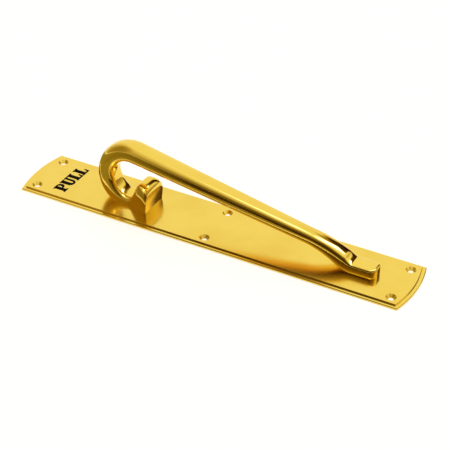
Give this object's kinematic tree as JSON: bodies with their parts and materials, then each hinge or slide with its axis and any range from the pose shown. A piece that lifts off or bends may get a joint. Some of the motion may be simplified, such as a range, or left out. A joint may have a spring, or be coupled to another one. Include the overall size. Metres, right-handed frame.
{
  "type": "door pull handle",
  "caption": "Polished brass door pull: a tapering bar handle with a curled, block-ended hook, fixed from behind to a long backplate with bowed ends and countersunk screw holes.",
  "frame": {"origin": "middle of the backplate's back face, on the door's surface", "axes": "+X along the plate from the curled hook to the handle's tail, +Y across the plate, +Z out of the door towards the hand"},
  "size_m": [0.382, 0.065, 0.0639],
  "materials": {
    "plate_brass": "mirror polished",
    "handle_brass": "mirror polished",
    "screw_steel": "turned"
  },
  "bodies": {
    "root": {"backplate": "plate_brass", "pull_handle": "handle_brass", "rear_fixing_screws": "screw_steel"}
  },
  "joints": []
}
